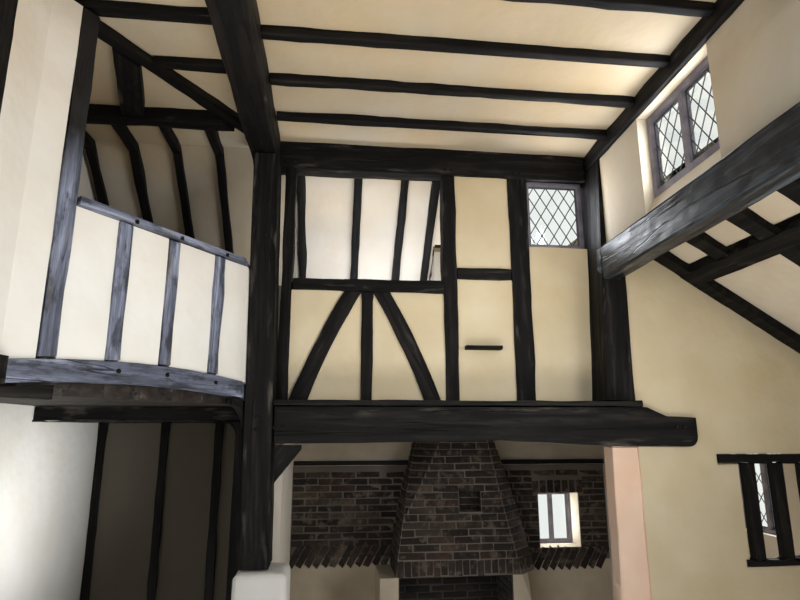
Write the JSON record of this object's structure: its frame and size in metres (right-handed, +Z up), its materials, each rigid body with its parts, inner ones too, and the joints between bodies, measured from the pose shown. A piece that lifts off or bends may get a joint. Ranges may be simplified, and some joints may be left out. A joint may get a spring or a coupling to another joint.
{
  "type": "half timbered hall end with inglenook and gallery",
  "caption": "Open end bay of a half timbered house: framed cross wall over a wide hearth, slanting gallery front, beamed ceiling, clerestory and lean-to aisle.",
  "frame": {"origin": "on the ground under the middle of the central post, on the base face of its plinth", "axes": "+X to the right as seen from the open front, +Y to the back of the house, +Z up"},
  "size_m": [6.3703, 4.1356, 4.57],
  "materials": {
    "dark_oak": "dark stained, hewn",
    "worn_oak": "dark stained, worn and lit by the windows",
    "weathered_oak": "dark stained, weathered outside",
    "floor_boards": "boards over joists",
    "white_plaster": "matte, trowelled",
    "cream_plaster": "matte, trowelled",
    "dark_brick": "sooty brick with pale joints",
    "clay_tile": "plain tile on boards",
    "painted_frame": "painted",
    "leaded_glass": "clear, in lead"
  },
  "bodies": {
    "root": {"central_post": "dark_oak", "post_plinth": "white_plaster", "mantel_beam": "dark_oak", "shelf_board": "dark_oak", "mantel_knee_brace": "dark_oak", "wall_studs": "dark_oak", "wall_braces": "dark_oak", "wall_rails": "dark_oak", "top_plate": "dark_oak", "wall_panels": "cream_plaster", "wall_ledge": "dark_oak", "right_post": "dark_oak", "plaster_pier": "cream_plaster", "inglenook_walls": "cream_plaster", "rear_wall": "cream_plaster", "inglenook_ledge": "dark_oak", "chimney_hood": "dark_brick", "hearth": "cream_plaster", "chimney_stack": "dark_brick", "landing_floor": "floor_boards", "gallery_beam": "worn_oak", "gallery_rail": "worn_oak", "gallery_studs": "worn_oak", "gallery_panels": "white_plaster", "gallery_post": "worn_oak", "gallery_plate": "dark_oak", "gallery_brackets": "dark_oak", "passage_lintel": "dark_oak", "gallery_tie": "dark_oak", "gallery_strut": "dark_oak", "principal_beam": "dark_oak", "ceiling_joists": "dark_oak", "hall_ceiling": "cream_plaster", "wall_plate": "dark_oak", "clerestory_wall": "cream_plaster", "arcade_beam": "worn_oak", "arcade_post": "dark_oak", "window_frames": "painted_frame", "window_glass": "leaded_glass", "aisle_end_wall": "cream_plaster", "hatch_frame": "dark_oak", "aisle_rafters": "dark_oak", "aisle_roof": "clay_tile", "aisle_wall": "cream_plaster", "left_wall": "white_plaster", "gallery_wall": "white_plaster", "landing_wall": "cream_plaster", "left_wall_timbers": "dark_oak", "rear_wall_timbers": "dark_oak", "rear_roof": "clay_tile", "rear_rafters": "dark_oak", "front_tie": "dark_oak", "aisle_side_wall": "cream_plaster", "low_roof": "clay_tile", "rear_frame": "weathered_oak", "left_frame": "weathered_oak", "aisle_frame": "weathered_oak"}
  },
  "joints": []
}
